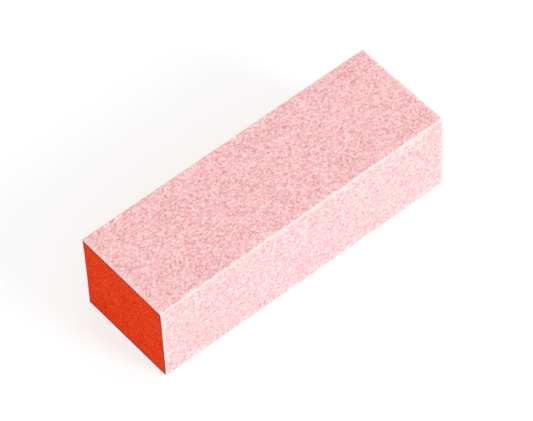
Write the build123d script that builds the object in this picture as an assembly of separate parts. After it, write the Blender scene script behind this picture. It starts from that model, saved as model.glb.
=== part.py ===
"""Nail buffer block: a foam core wrapped on three long faces in one folded abrasive sheet.

Millimetres. The origin is the centre of the footprint, +Z up, +X along the block.
The sheet covers the top, the -Y side and the bottom, and folds round the two -Y long edges.
The +Y side and both ends are bare foam, with the sheet's layers cut flush with them.
"""
import os

from build123d import *

# Driving dimensions of the whole block
LENGTH = 95.0
WIDTH = 32.0
HEIGHT = 26.8

# The wrapped sheet, from the foam outwards
ADHESIVE_THICKNESS = 0.10
PAPER_THICKNESS = 0.20
GRIT_THICKNESS = 0.25

# Radius of the foam's two long edges that the sheet folds round
CORE_EDGE_RADIUS = 0.25

# Depth of each layer's inner and outer surface below the block's outside
PAPER_DEPTH = GRIT_THICKNESS
ADHESIVE_DEPTH = PAPER_DEPTH + PAPER_THICKNESS
CORE_DEPTH = ADHESIVE_DEPTH + ADHESIVE_THICKNESS

# Outer fold radii of the layers, all about the same two centres
ADHESIVE_FOLD_RADIUS = CORE_EDGE_RADIUS + ADHESIVE_THICKNESS
PAPER_FOLD_RADIUS = ADHESIVE_FOLD_RADIUS + PAPER_THICKNESS

# The grit coat is brittle: it breaks off along each fold and stops where the fold begins
GRIT_MARGIN = PAPER_DEPTH + PAPER_FOLD_RADIUS


def section_within(depth, fold_radius):
    """Cross-section of all that lies deeper than depth, flush with the bare +Y side."""
    width = WIDTH - depth
    outline = Pos(depth / 2, HEIGHT / 2) * Rectangle(width, HEIGHT - 2 * depth)
    folded_corners = outline.vertices().group_by(Axis.X)[0]
    return fillet(folded_corners, fold_radius)


def along_block(section):
    """Runs a cross-section, drawn with Y to the right and Z up, from end to end of the block."""
    return extrude(Plane.YZ * section, amount=LENGTH / 2, both=True)


def foam_core():
    return along_block(section_within(CORE_DEPTH, CORE_EDGE_RADIUS))


def adhesive_film():
    outside = section_within(ADHESIVE_DEPTH, ADHESIVE_FOLD_RADIUS)
    inside = section_within(CORE_DEPTH, CORE_EDGE_RADIUS)
    return along_block(outside - inside)


def backing_paper():
    outside = section_within(PAPER_DEPTH, PAPER_FOLD_RADIUS)
    inside = section_within(ADHESIVE_DEPTH, ADHESIVE_FOLD_RADIUS)
    return along_block(outside - inside)


def grit_on_broad_face(bottom_z):
    """Grit coat on the top or the bottom, from the fold to the bare side."""
    width = WIDTH - GRIT_MARGIN
    middle = Pos(GRIT_MARGIN / 2, bottom_z + GRIT_THICKNESS / 2)
    return along_block(middle * Rectangle(width, GRIT_THICKNESS))


def grit_on_side():
    """Grit coat on the -Y side, between the two folds."""
    middle = Pos((GRIT_THICKNESS - WIDTH) / 2, HEIGHT / 2)
    return along_block(middle * Rectangle(GRIT_THICKNESS, HEIGHT - 2 * GRIT_MARGIN))


NODES = {
    "foam_core": foam_core(),
    "adhesive_film": adhesive_film(),
    "backing_paper": backing_paper(),
    "grit_coat_top": grit_on_broad_face(HEIGHT - GRIT_THICKNESS),
    "grit_coat_side": grit_on_side(),
    "grit_coat_bottom": grit_on_broad_face(0),
}

os.makedirs("parts", exist_ok=True)
for name, solid in NODES.items():
    export_step(solid, f"parts/{name}.step")
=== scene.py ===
"""Looks of the nail buffer block: a foam core in a folded sheet of pink abrasive paper."""
import math

import bpy
import numpy as np
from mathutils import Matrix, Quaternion, Vector


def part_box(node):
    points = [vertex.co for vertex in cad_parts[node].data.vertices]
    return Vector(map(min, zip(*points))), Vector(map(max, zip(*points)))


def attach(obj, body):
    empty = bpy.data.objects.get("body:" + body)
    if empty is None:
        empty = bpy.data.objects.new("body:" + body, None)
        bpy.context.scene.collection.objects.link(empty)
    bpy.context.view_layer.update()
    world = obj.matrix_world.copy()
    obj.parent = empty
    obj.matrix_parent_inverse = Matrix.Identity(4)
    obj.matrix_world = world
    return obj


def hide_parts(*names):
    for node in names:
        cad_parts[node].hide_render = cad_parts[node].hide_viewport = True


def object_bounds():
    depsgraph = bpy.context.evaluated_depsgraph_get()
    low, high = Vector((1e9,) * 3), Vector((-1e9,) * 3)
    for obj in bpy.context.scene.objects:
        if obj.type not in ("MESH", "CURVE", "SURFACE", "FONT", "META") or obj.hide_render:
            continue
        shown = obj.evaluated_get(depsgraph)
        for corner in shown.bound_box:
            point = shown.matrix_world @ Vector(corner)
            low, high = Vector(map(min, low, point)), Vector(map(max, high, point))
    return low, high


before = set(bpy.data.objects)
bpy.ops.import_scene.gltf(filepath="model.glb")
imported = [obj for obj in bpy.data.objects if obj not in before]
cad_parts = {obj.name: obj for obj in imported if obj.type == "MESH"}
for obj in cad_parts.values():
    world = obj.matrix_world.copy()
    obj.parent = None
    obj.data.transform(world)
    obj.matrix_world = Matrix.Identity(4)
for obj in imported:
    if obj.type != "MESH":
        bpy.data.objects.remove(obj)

cad_low, cad_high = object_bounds()

# Lengths below are in millimetres; Blender's own are in metres.
MM = 0.001


def box_mm(node_name):
    """The low and high corner of a CAD node's box."""
    low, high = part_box(node_name)
    return low / MM, high / MM


# What the frame says of the layers
core_low, core_high = box_mm("foam_core")
_, glue_high = box_mm("adhesive_film")
paper_low, paper_high = box_mm("backing_paper")
grit_low, grit_high = box_mm("grit_coat_top")

HALF_LENGTH = paper_high.x
BARE_Y = paper_high.y
GRIT = grit_high.z - paper_high.z
PAPER = paper_high.z - glue_high.z
GLUE = glue_high.z - core_high.z
FOLD = grit_low.y - paper_low.y

# The sheet laid out flat: distance round it from the bottom's free edge to the top's
FLAT = BARE_Y - (paper_low.y + FOLD)
ARC = FOLD * math.pi / 2
SIDE = paper_high.z - paper_low.z - 2 * FOLD
BOTTOM_FOLD = FLAT + ARC / 2
TOP_FOLD = FLAT + ARC + SIDE + ARC / 2
SHEET = TOP_FOLD + ARC / 2 + FLAT

# How finely the surfaces are modelled: distance between mesh points
GRIT_PITCH = 0.2
FOAM_PITCH = 0.25
PAPER_PITCH = 0.3
GLUE_PITCH = 1.0
STEPS_PER_RUN = 10

# Edges sharper than this many degrees are shaded as edges
SHARP_ANGLE = 50

# The block isn't cut quite square: how much each direction leans or grows with another
SKEW_BY_WIDTH = 0.005
SKEW_BY_HEIGHT = -0.004
TWIST = 0.003
TAPER = 0.003

# Abrasive grains, seen as domes in the mesh and as crystals in the colour
GRAIN_SPACING = 0.47
GRAIN_RADII = (0.26, 0.52)
CRYSTALS_PER_MM = 2.1


# ---- fields of detail -------------------------------------------------------------------


def ripple(a, b, wavelength, seed):
    """Smooth uneven field, mostly from -1 to 1, made of plane waves near one wavelength."""
    waves = 7
    rng = np.random.default_rng(seed)
    total = np.zeros(np.broadcast(a, b).shape)
    for _ in range(waves):
        heading = rng.uniform(0, 2 * math.pi)
        length = wavelength * rng.uniform(0.7, 1.6)
        phase = rng.uniform(0, 2 * math.pi)
        along = a * math.cos(heading) + b * math.sin(heading)
        total = total + np.sin(2 * math.pi * along / length + phase)
    return total / math.sqrt(waves)


def scattered(a, b, spacing, radii, share, seed, tilt=0.0, power=2.5):
    """Domes strewn over a plane, one at most to each square of a grid.

    Share is how many squares have one, tilt how much they lean, and a higher power makes
    them flatter on top. Returns the height of the highest dome at each point, 0 between
    them, and that dome's own random number, by which its colour differs from its neighbours'.
    """
    rng = np.random.default_rng(seed)
    cell_a = np.floor(a / spacing).astype(int)
    cell_b = np.floor(b / spacing).astype(int)
    first_a, first_b = cell_a.min() - 1, cell_b.min() - 1
    shape = (cell_a.max() - first_a + 2, cell_b.max() - first_b + 2)
    centre_a = rng.uniform(0.05, 0.95, shape)
    centre_b = rng.uniform(0.05, 0.95, shape)
    radius = rng.uniform(*radii, shape)
    peak = rng.uniform(0.45, 1.0, shape) * (rng.random(shape) < share)
    lean_a = rng.normal(0, tilt, shape)
    lean_b = rng.normal(0, tilt, shape)
    tone = rng.random(shape)
    height = np.zeros(a.shape)
    owner = np.full(a.shape, 0.5)
    for step_a in (-1, 0, 1):
        for step_b in (-1, 0, 1):
            row, column = cell_a + step_a - first_a, cell_b + step_b - first_b
            away_a = a - (cell_a + step_a + centre_a[row, column]) * spacing
            away_b = b - (cell_b + step_b + centre_b[row, column]) * spacing
            reach = np.hypot(away_a, away_b) / radius[row, column]
            dome = peak[row, column] * (1 - reach**power)
            dome = dome + (reach < 1) * (lean_a[row, column] * away_a + lean_b[row, column] * away_b)
            higher = (dome > height) & (reach < 1)
            height = np.where(higher, dome, height)
            owner = np.where(higher, tone[row, column], owner)
    return height, owner


# ---- geometry ---------------------------------------------------------------------------


def round_sheet(x, s, w):
    """Points of the wrapped sheet: x along the block, s round the sheet, w outwards from the paper."""
    to_side = np.clip((s - FLAT) / ARC, 0, 1)
    to_top = np.clip((s - FLAT - ARC - SIDE) / ARC, 0, 1)
    normal = -math.pi / 2 * (1 + to_side + to_top)
    out_of_fold = np.maximum(FLAT - s, 0) + np.maximum(s - (SHEET - FLAT), 0)
    up_side = np.clip(s - FLAT - ARC, 0, SIDE)
    y = paper_low.y + FOLD + out_of_fold + (FOLD + w) * np.cos(normal)
    z = paper_low.z + FOLD + up_side + (FOLD + w) * np.sin(normal)
    return np.stack(np.broadcast_arrays(x, y, z), axis=-1)


def settle(points):
    """The slight skew and taper that the whole block was cut with, the same for all its layers."""
    x, y, z = points[..., 0], points[..., 1], points[..., 2]
    along = x / HALF_LENGTH
    skewed = x + SKEW_BY_WIDTH * y + SKEW_BY_HEIGHT * z
    twisted = y + TWIST * along * z
    tapered = z * (1 + TAPER * along)
    return np.stack([skewed, twisted, tapered], axis=-1)


def steps(low, high, pitch):
    """Evenly spaced values from low to high, about a pitch apart."""
    return np.linspace(low, high, max(2, round((high - low) / pitch) + 1))


def grid_faces(ids):
    """Quads of a grid of vertex numbers, facing the way of first axis cross second axis."""
    quads = np.stack([ids[:-1, :-1], ids[1:, :-1], ids[1:, 1:], ids[:-1, 1:]], axis=-1)
    return quads.reshape(-1, 4).tolist()


def rim_faces(outside, inside):
    """Quads between the rims of two grids of vertex numbers."""
    faces = []
    for out_edge, in_edge in (
        (outside[:, 0], inside[:, 0]),
        (outside[-1, :], inside[-1, :]),
        (outside[::-1, -1], inside[::-1, -1]),
        (outside[0, ::-1], inside[0, ::-1]),
    ):
        faces += np.stack([out_edge[1:], out_edge[:-1], in_edge[:-1], in_edge[1:]], axis=-1).tolist()
    return faces


def back_faces(inside, columns):
    """Faces of a sheet's back: strips between the kept columns, whole rows only at the two ends."""
    faces = []
    for left, right in zip(columns, columns[1:]):
        faces.append([*inside[0, left:right + 1], inside[1, right], inside[1, left]])
        faces.append([*inside[-1, left:right + 1][::-1], inside[-2, left], inside[-2, right]])
        faces += grid_faces(inside[1:-1, [left, right]].T)
    return [[int(number) for number in face] for face in faces]


def closed_sheet(outer, inner, columns):
    """Vertices and faces of a closed sheet between two grids of points.

    The inner grid keeps its rim and the given columns, which are enough where it is flat.
    """
    outside = np.arange(outer.shape[0] * outer.shape[1]).reshape(outer.shape[:2])
    kept = np.zeros(outside.shape, bool)
    kept[:, columns] = True
    kept[[0, -1], :] = True
    inside = np.full(outside.shape, -1)
    inside[kept] = outside.size + np.arange(kept.sum())
    points = np.concatenate([outer.reshape(-1, 3), inner[kept]])
    faces = grid_faces(outside) + rim_faces(outside, inside) + back_faces(inside, columns)
    return points, faces


def add_piece(name, node_name, points, faces, material, fields):
    """A visible piece that rides on the block and stands for the named CAD node."""
    mesh = bpy.data.meshes.new(name)
    mesh.from_pydata((settle(points) * MM).tolist(), [], faces)
    mesh.shade_smooth()
    mesh.set_sharp_from_angle(angle=math.radians(SHARP_ANGLE))
    for field_name, values in fields.items():
        attribute = mesh.attributes.new(field_name, "FLOAT", "POINT")
        attribute.data.foreach_set("value", np.asarray(values, np.float32).ravel())
    mesh.materials.append(material)
    piece = bpy.data.objects.new(name, mesh)
    bpy.context.scene.collection.objects.link(piece)
    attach(piece, "root")
    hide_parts(node_name)
    return piece


# ---- the sheet's layers -----------------------------------------------------------------


def broken_edge(x, seed):
    """How far the grit coat stops short of the middle of a fold, along the block."""
    usual, waver, chip_reach = 0.17, 0.04, 0.16
    chips, _ = scattered(x, x * 0, spacing=2.3, radii=(0.25, 0.8), share=0.55, seed=seed, power=2.0)
    slow = ripple(x, 0, wavelength=3.0, seed=seed + 1)
    quick = ripple(x, 0, wavelength=0.8, seed=seed + 2)
    return usual + waver * slow + waver * quick + chip_reach * chips


def rubbed(x, s, from_edge, from_end, seed):
    """How pale the coat is rubbed: a little along its cut ends, more in scuffs by its long edges."""
    edge_reach, end_reach, end_wear, most = 2.2, 1.1, 0.35, 0.85
    scuff, _ = scattered(1.5 * x, 0.7 * s, spacing=0.9, radii=(0.25, 0.5), share=0.7, seed=seed, power=3.0)
    patch = np.clip(0.1 + 1.3 * ripple(x, 0, wavelength=16.0, seed=seed + 1), 0, 1)
    by_edge = np.clip(1.15 - from_edge / edge_reach, 0, 1)
    by_end = np.clip(1 - from_end / end_reach, 0, 1)
    return np.clip(1.1 * scuff * patch * by_edge + end_wear * by_end, 0, most)


def back_columns(count):
    """Which of a coat's mesh columns its flat back keeps: all near its edges, few between them."""
    by_edge, apart = 4, 16
    return [*range(by_edge), *range(apart, count - 1 - apart // 2, apart), *range(count - by_edge, count)]


def with_back(values, count, fill):
    """A value for each of count mesh points: those given for the outer face, then the fill."""
    return np.concatenate([values.ravel(), np.full(count - values.size, fill)])


def grit_coat(face, material, first, last, seed):
    """The coat of abrasive grains in resin on one face, from first to last round the sheet.

    Both are functions of the place along the block, as the coat's two long edges are uneven.
    """
    x_line = steps(-HALF_LENGTH, HALF_LENGTH, GRIT_PITCH)
    low, high = first(x_line), last(x_line)
    across = steps(0, 1, GRIT_PITCH / (high - low).mean())
    x = np.repeat(x_line[:, None], len(across), axis=1)
    s = low[:, None] + (high - low)[:, None] * across
    grain, tone = scattered(x, s, GRAIN_SPACING, GRAIN_RADII, share=0.94, seed=seed, tilt=0.45)
    broad = ripple(x, s, wavelength=2.2, seed=seed + 5)
    fine = ripple(x, s, wavelength=0.9, seed=seed + 6)
    level = 0.5 + 0.12 * broad + 0.10 * fine
    from_edge = np.minimum(s - low[:, None], high[:, None] - s)
    from_end = HALF_LENGTH - np.abs(x)
    scuffed = rubbed(x, s, from_edge, from_end, seed + 7)
    relief = np.clip(0.25 * level + 0.75 * grain, 0, 1) * (1 - 0.5 * scuffed)
    edge_share, rise_per_mm = 0.45, 2.6
    worn = np.clip(edge_share + rise_per_mm * np.minimum(from_edge, from_end + 0.1), 0, 1)
    least = 0.40
    thick = GRIT * (least + (1 - least) * relief) * worn
    outer = round_sheet(x, s, thick)
    cut_back = 0.05
    outer[0, :, 0] += cut_back * relief[0]
    outer[-1, :, 0] -= cut_back * relief[-1]
    points, faces = closed_sheet(outer, round_sheet(x, s, 0 * s), back_columns(s.shape[1]))
    fields = {
        "relief": with_back(relief, len(points), 0.3),
        "grain": with_back(tone, len(points), 0.3),
        "rubbed": with_back(scuffed, len(points), 0.0),
    }
    return add_piece(f"grit_{face}", f"grit_coat_{face}", points, faces, material, fields)


def near_fold(s, reach):
    """1 at the middle of either fold, falling to 0 at reach from it."""
    away = np.minimum(np.abs(s - BOTTOM_FOLD), np.abs(s - TOP_FOLD))
    return np.clip(1 - away / reach, 0, 1)


def sheet_stations():
    """Places round the sheet, close together at the folds."""
    corners = [0, FLAT, FLAT + ARC, FLAT + ARC + SIDE, FLAT + 2 * ARC + SIDE, SHEET]
    runs = [np.linspace(a, b, STEPS_PER_RUN, endpoint=False) for a, b in zip(corners, corners[1:])]
    return np.append(np.concatenate(runs), SHEET)


def layer(name, node_name, material, outside, thickness, pitch, fray, fuzz, seed):
    """A folded layer with its outer face at outside, its cut edges frayed and its folds fuzzy."""
    x_line = steps(-HALF_LENGTH, HALF_LENGTH, pitch)
    s_line = sheet_stations()
    x, s = np.meshgrid(x_line, s_line, indexing="ij")
    end_cut = fray * (0.5 + 0.5 * ripple(s, 0, wavelength=2.0, seed=seed))
    edge_cut = fray * (0.5 + 0.5 * ripple(x, 0, wavelength=2.0, seed=seed + 1))
    at_end = np.abs(x) > HALF_LENGTH - 0.01
    x = x * (1 - np.abs(end_cut) / HALF_LENGTH * at_end)
    s_cut = np.clip(s, np.abs(edge_cut), SHEET - np.abs(edge_cut))
    crease = near_fold(s, ARC / 2)
    lumps = ripple(x, s, wavelength=0.9, seed=seed + 2)
    fibres = ripple(x, s * 3, wavelength=0.35, seed=seed + 3)
    roughness = 0.6 * lumps + 0.6 * fibres
    outer = round_sheet(x, s_cut, outside + fuzz * crease * roughness)
    inner = round_sheet(x, s_cut, outside - thickness + 0 * s)
    points, faces = closed_sheet(outer, inner, list(range(len(s_line))))
    fields = {"crease": np.tile(near_fold(s, ARC * 0.9).ravel(), 2)}
    return add_piece(name, node_name, points, faces, material, fields)


# ---- the foam core ----------------------------------------------------------------------

# The foam's bare faces laid out flat: one end, the bare side and the other end, with a small
# round between them
BARE_EDGE = 0.18
END_RUN = core_high.y - core_low.y - BARE_EDGE
CORNER = BARE_EDGE * math.pi / 2
SIDE_RUN = 2 * (HALF_LENGTH - BARE_EDGE)
BARE_RUN = 2 * (END_RUN + CORNER) + SIDE_RUN

# Radius of the foam's two long edges that the sheet folds round
CORE_FOLD = FOLD - PAPER - GLUE

# How far cut cells, the bow of the cut and its waver take a bare face below its nominal place
LARGE_CELL = 0.10
SMALL_CELL = 0.035
BOW = 0.10
WAVER = 0.03
DEEPEST = 1.0


def round_bare_faces(t, z, w):
    """Points of the foam's bare faces: t round the -X end, the +Y side and the +X end, w outwards."""
    to_side = np.clip((t - END_RUN) / CORNER, 0, 1)
    to_end = np.clip((t - END_RUN - CORNER - SIDE_RUN) / CORNER, 0, 1)
    normal = math.pi - math.pi / 2 * (to_side + to_end)
    along = np.clip(t - END_RUN - CORNER, 0, SIDE_RUN)
    back = np.maximum(END_RUN - t, 0) + np.maximum(t - (BARE_RUN - END_RUN), 0)
    x = BARE_EDGE - HALF_LENGTH + along + (BARE_EDGE + w) * np.cos(normal)
    y = core_high.y - BARE_EDGE - back + (BARE_EDGE + w) * np.sin(normal)
    y, z = fold_corner(y, z)
    return np.stack([x, y, z], axis=-1)


def fold_corner(y, z):
    """Rounds the cross-section's two corners that the sheet folds round."""
    over_y = y - (core_low.y + CORE_FOLD)
    upper, lower = core_high.z - CORE_FOLD, core_low.z + CORE_FOLD
    over_z = np.maximum(z - upper, 0) + np.minimum(z - lower, 0)
    in_corner = (over_y < 0) & (over_z != 0)
    reach = np.maximum(np.abs(over_y), np.abs(over_z))
    inwards = 1 - reach / np.maximum(np.hypot(over_y, over_z), 1e-9)
    return y - in_corner * over_y * inwards, z - in_corner * over_z * inwards


def across_faces(row):
    """Closes the foam's top or bottom with strips from end to end, and one face by the bare side."""
    last_face_width = 1.0
    count = round((END_RUN - last_face_width) / FOAM_PITCH)
    faces = [[row[i], row[i + 1], row[-i - 2], row[-i - 1]] for i in range(count)]
    faces.append(row[count:len(row) - count])
    return [[int(number) for number in face] for face in faces]


def foam_core(material):
    """The foam block: cut cells on its three bare faces, plain where the sheet covers it."""
    z_line = steps(core_low.z, core_high.z, FOAM_PITCH)
    t_line = steps(0, BARE_RUN, FOAM_PITCH)
    z, t = np.meshgrid(z_line, t_line, indexing="ij")
    large, _ = scattered(t, z, spacing=1.3, radii=(0.16, 0.42), share=0.30, seed=41, power=2.0)
    small, _ = scattered(t, z, spacing=0.55, radii=(0.14, 0.27), share=0.55, seed=42, power=2.0)
    middle = 1 - (2 * (z - z_line.mean()) / np.ptp(z_line)) ** 2
    hollow = LARGE_CELL * large + SMALL_CELL * small + BOW * middle
    hollow = hollow + WAVER * ripple(t, z, wavelength=7.0, seed=43)
    at_corner = (t > END_RUN - BARE_EDGE) & (t < BARE_RUN - END_RUN + BARE_EDGE)
    at_corner &= (t < END_RUN + CORNER + BARE_EDGE) | (t > BARE_RUN - END_RUN - CORNER - BARE_EDGE)
    hollow = np.clip(hollow, 0, np.where(at_corner, BARE_EDGE / 2, DEEPEST))
    bare = round_bare_faces(t, z, -hollow)
    ids = np.arange(z.size).reshape(z.shape)
    covered = np.stack([ids[1:, 0], ids[:-1, 0], ids[:-1, -1], ids[1:, -1]], axis=-1).tolist()
    faces = grid_faces(ids) + covered + across_faces(ids[0]) + across_faces(ids[-1, ::-1])
    from_sheet = np.minimum(np.minimum(z - core_low.z, core_high.z - z), np.minimum(t, BARE_RUN - t))
    # Painted shade on the bare foam within about half a millimetre of the sheet's edges
    sheet_shade_width = 0.5 + 0.15 * ripple(t, z, wavelength=2.0, seed=44)
    # Both fields darken the foam's colour as painted shade: in its cut cells, and in a narrow rim beside
    # the sheet.
    fields = {
        "pit": np.maximum(large, 0.5 * small),
        "sheet_edge_shade": np.clip(1.1 - from_sheet / sheet_shade_width, 0, 1),
    }
    piece = add_piece("foam", "foam_core", bare.reshape(-1, 3), faces, material, fields)
    return piece


# ---- materials --------------------------------------------------------------------------

# Colours, and ramps of colours, each stop a place from 0 to 1 and its colour
GRAIN_SHADES = [
    (0.26, (0.60, 0.23, 0.235)),
    (0.38, (0.69, 0.365, 0.37)),
    (0.50, (0.735, 0.455, 0.467)),
    (0.63, (0.785, 0.54, 0.558)),
    (0.76, (0.835, 0.64, 0.652)),
]
GRAIN_TINTS = [
    (0.0, (0.98, 1.01, 0.87)),
    (0.5, (1.0, 1.0, 1.0)),
    (1.0, (1.0, 0.90, 1.02)),
]
HANDLED_PATCHES = [(0.3, (0.95, 0.94, 0.94)), (0.7, (1.0, 1.0, 1.0))]
CORAL_RESIN = (0.67, 0.29, 0.285, 1)
RUBBED_PALE = (0.88, 0.77, 0.75, 1)
# The paper's cut edges: dull red, darkened further as painted shade so that they read as a dark line
SHADED_CUT_PAPER = [(0.3, (0.42, 0.07, 0.045)), (0.7, (0.56, 0.15, 0.11))]
CREASED_PAPER = [
    (0.36, (0.68, 0.40, 0.385)),
    (0.46, (0.75, 0.52, 0.505)),
    (0.60, (0.81, 0.63, 0.61)),
]
# The glue film: dark red smears, darkened further as painted shade along the sheet's cut edges
GLUE_SMEARS_AND_SHADE = [(0.3, (0.30, 0.02, 0.01)), (0.7, (0.48, 0.06, 0.03))]
FOAM_SHADES = [
    (0.36, (0.54, 0.014, 0.001)),
    (0.50, (0.72, 0.034, 0.002)),
    (0.64, (0.88, 0.076, 0.005)),
]
# Painted shade: the colour that the foam's pores and cut cells are darkened towards
PORE_SHADE = (0.40, 0.012, 0.002, 1)


def node(tree, kind, inputs=None, **settings):
    """A shader node, its inputs linked to sockets or set to values."""
    made = tree.nodes.new(kind)
    for name, value in settings.items():
        setattr(made, name, value)
    for name, value in (inputs or {}).items():
        if isinstance(value, bpy.types.NodeSocket):
            tree.links.new(value, made.inputs[name])
        else:
            made.inputs[name].default_value = value
    return made


def millimetres(tree):
    """Where a point lies on the object, in millimetres."""
    place = node(tree, "ShaderNodeTexCoord").outputs["Object"]
    scale = {0: place, "Scale": 1 / MM}
    return node(tree, "ShaderNodeVectorMath", scale, operation="SCALE").outputs["Vector"]


def stretched(tree, place, scale):
    """The place with each direction scaled, which draws a pattern out along the smaller ones."""
    return node(tree, "ShaderNodeMapping", {"Vector": place, "Scale": scale}).outputs["Vector"]


def noise(tree, place, scale, detail=2.0, roughness=0.5):
    """Smooth noise from 0 to 1, with about scale lumps to the millimetre."""
    inputs = {"Vector": place, "Scale": scale, "Detail": detail, "Roughness": roughness}
    return node(tree, "ShaderNodeTexNoise", inputs).outputs["Fac"]


def cells(tree, place, scale):
    """A pattern of cells: the distance from each cell's middle, and a number for each cell."""
    made = node(tree, "ShaderNodeTexVoronoi", {"Vector": place, "Scale": scale})
    number = node(tree, "ShaderNodeSeparateColor", {"Color": made.outputs["Color"]})
    return made.outputs["Distance"], number.outputs["Red"]


def field(tree, name):
    """The value that the mesh carries under this name."""
    return node(tree, "ShaderNodeAttribute", attribute_name=name).outputs["Fac"]


def product(tree, a, b):
    return node(tree, "ShaderNodeMath", {0: a, 1: b}, operation="MULTIPLY").outputs["Value"]


def weighted(tree, *terms):
    """The sum of (socket, weight) pairs."""
    total = 0.0
    for socket, weight in terms:
        total = node(tree, "ShaderNodeMath", {0: socket, 1: weight, 2: total}, operation="MULTIPLY_ADD")
        total = total.outputs["Value"]
    return total


def mapped(tree, value, low, high, to_low, to_high):
    """The value with its range from low to high stretched to the range from to_low to to_high."""
    inputs = {"Value": value, "From Min": low, "From Max": high, "To Min": to_low, "To Max": to_high}
    return node(tree, "ShaderNodeMapRange", inputs).outputs["Result"]


def mixed(tree, factor, a, b, blend="MIX"):
    made = node(tree, "ShaderNodeMix", {0: factor, 6: a, 7: b}, data_type="RGBA", blend_type=blend)
    return made.outputs[2]


def ramp(tree, factor, stops):
    made = node(tree, "ShaderNodeValToRGB", {"Fac": factor})
    points = made.color_ramp.elements
    while len(points) < len(stops):
        points.new(0.5)
    for point, (position, colour) in zip(points, stops):
        point.position = position
        point.color = (*colour, 1)
    return made.outputs["Color"]


def new_material(name, **constants):
    """A material with one Principled shader, its constant inputs set by name."""
    material = bpy.data.materials.new(name)
    material.use_nodes = True
    tree = material.node_tree
    shader = tree.nodes["Principled BSDF"]
    for socket, value in constants.items():
        shader.inputs[socket.replace("_", " ")].default_value = value
    return material, tree, shader


def connect(tree, shader, colour, roughness, height, strength, depth):
    """Links the patterned inputs of a material, with relief up to depth millimetres."""
    bump = node(tree, "ShaderNodeBump", {"Height": height, "Strength": strength, "Distance": depth * MM})
    tree.links.new(colour, shader.inputs["Base Color"])
    tree.links.new(roughness, shader.inputs["Roughness"])
    tree.links.new(bump.outputs["Normal"], shader.inputs["Normal"])


def crystals(tree, place, scale):
    """Crystals lying at every angle: a tilted facet's height, a gap and three random numbers each."""
    cell = node(tree, "ShaderNodeTexVoronoi", {"Vector": place, "Scale": scale}).outputs
    border = node(
        tree, "ShaderNodeTexVoronoi", {"Vector": place, "Scale": scale}, feature="DISTANCE_TO_EDGE"
    )
    away = node(
        tree, "ShaderNodeVectorMath", {0: place, 1: cell["Position"]}, operation="SUBTRACT"
    ).outputs["Vector"]
    lean = node(
        tree, "ShaderNodeVectorMath", {0: cell["Color"], 1: (0.5, 0.5, 0.5)}, operation="SUBTRACT"
    ).outputs["Vector"]
    facet = node(tree, "ShaderNodeVectorMath", {0: away, 1: lean}, operation="DOT_PRODUCT")
    gap = mapped(tree, border.outputs["Distance"], 0.02, 0.16, 1.0, 0.0)
    numbers = node(tree, "ShaderNodeSeparateColor", {"Color": cell["Color"]}).outputs
    return facet.outputs["Value"], gap, numbers


def grit_material():
    """Pink crystals in coral resin, each its own tone and tint and painted lighter or darker as light on
    its facet, rubbed paler in the scuffs.
    """
    material, tree, shader = new_material("pink_grit", Specular_IOR_Level=0.6)
    place = millimetres(tree)
    facet, gap, numbers = crystals(tree, place, CRYSTALS_PER_MM)
    number = numbers["Red"]
    dust = noise(tree, place, 9.0)
    clump = noise(tree, place, 1.0, detail=1.0)
    shade = weighted(tree, (number, 0.36), (field(tree, "grain"), 0.26), (dust, 0.08), (clump, 0.30))
    grain = ramp(tree, shade, GRAIN_SHADES)
    grain = mixed(tree, 1.0, grain, ramp(tree, numbers["Green"], GRAIN_TINTS), "MULTIPLY")
    # Painted light: each crystal a little brighter or darker, as if its facet caught more or less light
    painted_facet_light = mapped(tree, numbers["Blue"], 0, 1, 0.87, 1.06)
    grain = mixed(tree, 1.0, grain, painted_facet_light, "MULTIPLY")
    bare_resin = mapped(tree, field(tree, "relief"), 0.10, 0.40, 0.8, 0.0)
    resin = weighted(tree, (gap, 0.5), (bare_resin, 0.6))
    colour = mixed(tree, resin, grain, CORAL_RESIN)
    colour = mixed(tree, field(tree, "rubbed"), colour, RUBBED_PALE)
    patch = noise(tree, place, 0.10, detail=3.0)
    colour = mixed(tree, 1.0, colour, ramp(tree, patch, HANDLED_PATCHES), "MULTIPLY")
    roughness = mapped(tree, number, 0, 1, 0.35, 0.85)
    height = weighted(tree, (facet, 6.0), (gap, -0.5), (dust, 0.3))
    connect(tree, shader, colour, roughness, height, strength=0.4, depth=0.06)
    return material


def paper_material():
    """Dull red at the cut edges, darkened there as painted shade, and whitened with lifted fibres along
    the folds.
    """
    material, tree, shader = new_material("backing_paper", Specular_IOR_Level=0.25)
    place = millimetres(tree)
    fibre = noise(tree, stretched(tree, place, (0.6, 2.0, 2.0)), 3.0, detail=4.0, roughness=0.65)
    blotch = noise(tree, place, 1.1)
    # Dull red cut edges, darker as painted shade
    cut = ramp(tree, fibre, SHADED_CUT_PAPER)
    crease = ramp(tree, weighted(tree, (fibre, 0.6), (blotch, 0.4)), CREASED_PAPER)
    at_fold = mapped(tree, field(tree, "crease"), 0.05, 0.45, 0, 1)
    colour = mixed(tree, at_fold, cut, crease)
    roughness = mapped(tree, fibre, 0.3, 0.7, 0.95, 0.8)
    connect(tree, shader, colour, roughness, fibre, strength=0.6, depth=0.04)
    return material


def adhesive_material():
    """A thin film, dark red from the foam behind it and darker still as painted shade, in uneven smears.
    """
    material, tree, shader = new_material("adhesive_film", Specular_IOR_Level=0.5)
    place = millimetres(tree)
    smear = noise(tree, place, 1.6, detail=3.0)
    colour = ramp(tree, smear, GLUE_SMEARS_AND_SHADE)
    roughness = mapped(tree, smear, 0.3, 0.7, 0.35, 0.6)
    connect(tree, shader, colour, roughness, smear, strength=0.3, depth=0.02)
    return material


def pores(tree, place, scale, narrow, wide):
    """Round pores of uneven depth, one to a cell: 1 in the deepest, 0 between them."""
    distance, number = cells(tree, place, scale)
    inside = mapped(tree, distance, narrow, wide, 1.0, 0.0)
    return product(tree, inside, mapped(tree, number, 0.25, 0.9, 0.0, 1.0))


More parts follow.
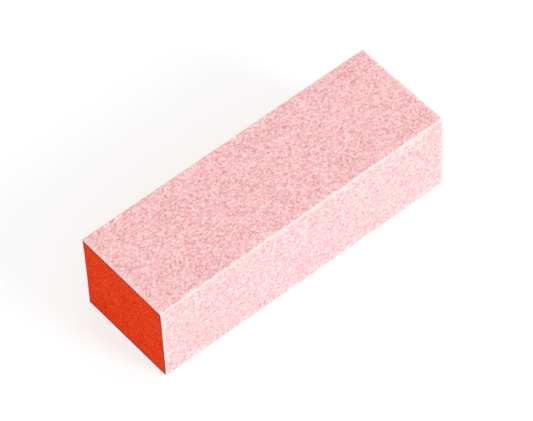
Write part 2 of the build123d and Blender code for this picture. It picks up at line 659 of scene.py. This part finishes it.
def foam_material():
    """Orange-red closed-cell foam: fine cells, open pores, faint marks of the blade; painted shade in
    pores and by the sheet.
    """
    material, tree, shader = new_material(
        "orange_foam",
        Specular_IOR_Level=0.05,
        Subsurface_Weight=0.10,
        Subsurface_Radius=(1.0, 0.25, 0.08),
        Subsurface_Scale=0.8 * MM,
        Sheen_Weight=0.04,
        Sheen_Roughness=0.5,
        Sheen_Tint=(1.0, 0.22, 0.06, 1),
    )
    place = millimetres(tree)
    wall, cell_shade = cells(tree, place, 3.6)
    grain = noise(tree, place, 1.7, detail=4.0, roughness=0.65)
    cloud = noise(tree, place, 0.16, detail=3.0)
    blade = noise(tree, stretched(tree, place, (0.5, 0.5, 4.0)), 0.8, detail=3.0)
    shade = weighted(tree, (grain, 0.54), (cell_shade, 0.20), (cloud, 0.10), (blade, 0.16))
    colour = ramp(tree, shade, FOAM_SHADES)
    pore = pores(tree, place, 1.25, 0.10, 0.34)
    speck = pores(tree, place, 2.6, 0.12, 0.36)
    pit, sheet_edge_shade = field(tree, "pit"), field(tree, "sheet_edge_shade")
    dark = weighted(tree, (pore, 0.55), (speck, 0.30), (pit, 0.35), (sheet_edge_shade, 0.7))
    # Painted shade: the pores, the cut cells and the rim beside the sheet are darkened in the colour
    colour = mixed(tree, dark, colour, PORE_SHADE)
    roughness = mapped(tree, grain, 0.3, 0.7, 0.88, 0.72)
    height = weighted(tree, (wall, 0.4), (grain, 0.5), (blade, 0.25), (pore, -0.9), (speck, -0.5))
    connect(tree, shader, colour, roughness, height, strength=0.5, depth=0.08)
    return material


def floor_material():
    """A pale light table: its own glow keeps the shadows and the foam's red bounce faint."""
    material, _, _ = new_material(
        "floor",
        Base_Color=(0.26, 0.26, 0.26, 1),
        Specular_IOR_Level=0.2,
        Roughness=0.9,
        Emission_Color=(1, 1, 1, 1),
        Emission_Strength=0.69,
    )
    return material


# ---- the block --------------------------------------------------------------------------


def trimmed(x, seed):
    """How far the grit coat stops short of the sheet's free edge, along the block."""
    usual, waver = 0.02, 0.015
    return usual + waver * ripple(x, 0, wavelength=1.5, seed=seed)


def build_block():
    grit, paper, glue = grit_material(), paper_material(), adhesive_material()
    foam_core(foam_material())
    layer(
        "glue",
        "adhesive_film",
        glue,
        outside=-PAPER,
        thickness=GLUE,
        pitch=GLUE_PITCH,
        fray=0.09,
        fuzz=0.0,
        seed=51,
    )
    layer(
        "paper",
        "backing_paper",
        paper,
        outside=0.0,
        thickness=PAPER,
        pitch=PAPER_PITCH,
        fray=0.04,
        fuzz=0.025,
        seed=61,
    )
    grit_coat(
        "top",
        grit,
        first=lambda x: TOP_FOLD + broken_edge(x, seed=71),
        last=lambda x: SHEET - trimmed(x, seed=72),
        seed=73,
    )
    grit_coat(
        "side",
        grit,
        first=lambda x: BOTTOM_FOLD + broken_edge(x, seed=81),
        last=lambda x: TOP_FOLD - broken_edge(x, seed=82),
        seed=83,
    )
    grit_coat(
        "bottom",
        grit,
        first=lambda x: trimmed(x, seed=91),
        last=lambda x: BOTTOM_FOLD - broken_edge(x, seed=92),
        seed=93,
    )


# ---- studio -----------------------------------------------------------------------------


def direction(azimuth, elevation):
    """Unit vector from the block: azimuth 0 is the front, -Y, and 90 is +X."""
    a, e = math.radians(azimuth), math.radians(elevation)
    return Vector((math.sin(a) * math.cos(e), -math.cos(a) * math.cos(e), math.sin(e)))


def add_floor():
    """A square floor, 30 metres each way from the block."""
    reach = 30.0
    mesh = bpy.data.meshes.new("floor")
    corners = [(-reach, -reach, 0), (reach, -reach, 0), (reach, reach, 0), (-reach, reach, 0)]
    mesh.from_pydata(corners, [], [(0, 1, 2, 3)])
    mesh.materials.append(floor_material())
    floor = bpy.data.objects.new("floor", mesh)
    bpy.context.scene.collection.objects.link(floor)


def add_softbox(name, target, azimuth, elevation, distance, size, power):
    lamp = bpy.data.lights.new(name, "AREA")
    lamp.shape = "DISK"
    lamp.size = size
    lamp.energy = power
    box = bpy.data.objects.new(name, lamp)
    towards = direction(azimuth, elevation)
    box.location = target + towards * distance
    box.rotation_mode = "QUATERNION"
    box.rotation_quaternion = towards.to_track_quat("Z", "Y")
    bpy.context.scene.collection.objects.link(box)


def add_daylight(strength):
    world = bpy.data.worlds.new("white_room")
    world.use_nodes = True
    sky = world.node_tree.nodes["Background"]
    sky.inputs["Color"].default_value = (1, 1, 1, 1)
    sky.inputs["Strength"].default_value = strength
    bpy.context.scene.world = world


def add_camera(target, azimuth, elevation, roll, distance, lens):
    data = bpy.data.cameras.new("camera")
    data.lens = lens
    camera = bpy.data.objects.new("camera", data)
    towards = direction(azimuth, elevation)
    camera.location = target + towards * distance
    camera.rotation_mode = "QUATERNION"
    spin = Quaternion((0, 0, 1), math.radians(roll))
    camera.rotation_quaternion = towards.to_track_quat("Z", "Y") @ spin
    bpy.context.scene.collection.objects.link(camera)
    bpy.context.scene.camera = camera


def light_and_view():
    middle = (cad_low + cad_high) / 2
    add_floor()
    add_daylight(strength=1.02)
    add_softbox("key", middle, azimuth=18, elevation=26, distance=1.2, size=0.45, power=12.2)
    add_camera(middle, azimuth=-38.0, elevation=51.8, roll=-2.95, distance=0.962, lens=250)
    bpy.context.scene.view_settings.view_transform = "Standard"


build_block()
light_and_view()
